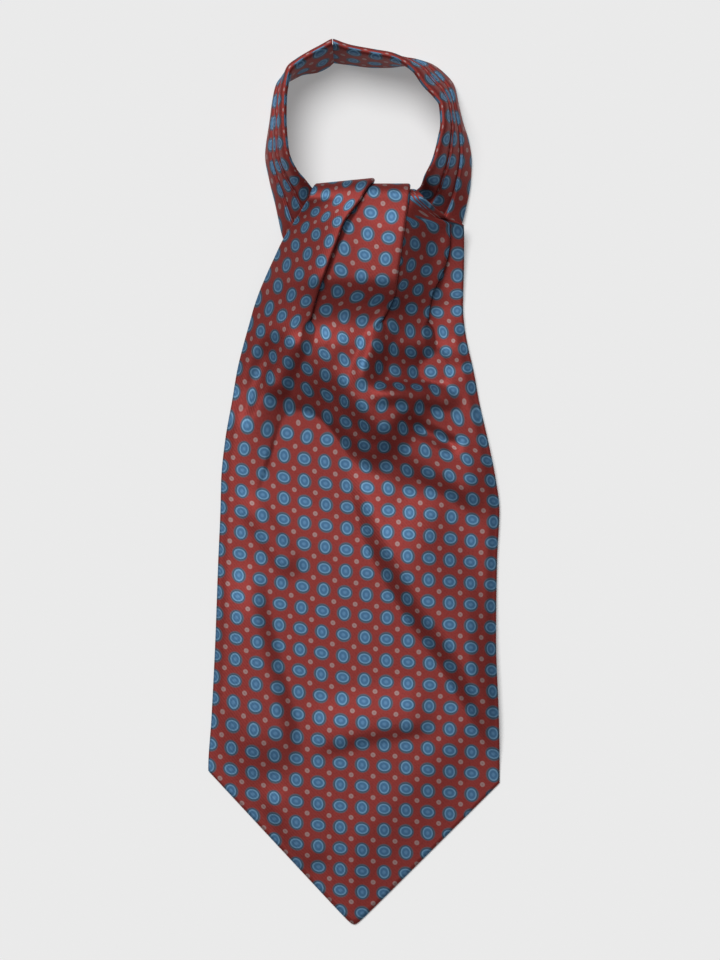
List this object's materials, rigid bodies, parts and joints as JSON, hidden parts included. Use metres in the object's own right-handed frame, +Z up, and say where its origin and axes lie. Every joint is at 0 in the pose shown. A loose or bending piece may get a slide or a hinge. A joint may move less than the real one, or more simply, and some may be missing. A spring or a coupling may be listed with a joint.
{
  "type": "cravat",
  "caption": "Silk cravat laid flat: pleated neckband stands as a ring, box-pleated front blade folds over the throat and hangs to a point over a shorter back blade",
  "frame": {"origin": "on the table surface, under the middle of the bounding box", "axes": "+X to the right, +Y along the length from the point to the neck ring, +Z up off the table"},
  "size_m": [0.1591, 0.4817, 0.0331],
  "materials": {
    "printed_silk": "brick-red silk twill with a small medallion foulard print, soft sheen",
    "printed_silk_band": "the same printed silk twill, folded in three lengthwise pleats",
    "printed_silk_inner": "the same printed silk twill, hidden layers"
  },
  "bodies": {
    "root": {"front_blade": "printed_silk", "neckband_left": "printed_silk_band", "neckband_right": "printed_silk_band", "crossing_wrap": "printed_silk_inner", "under_blade": "printed_silk_inner"}
  },
  "joints": []
}
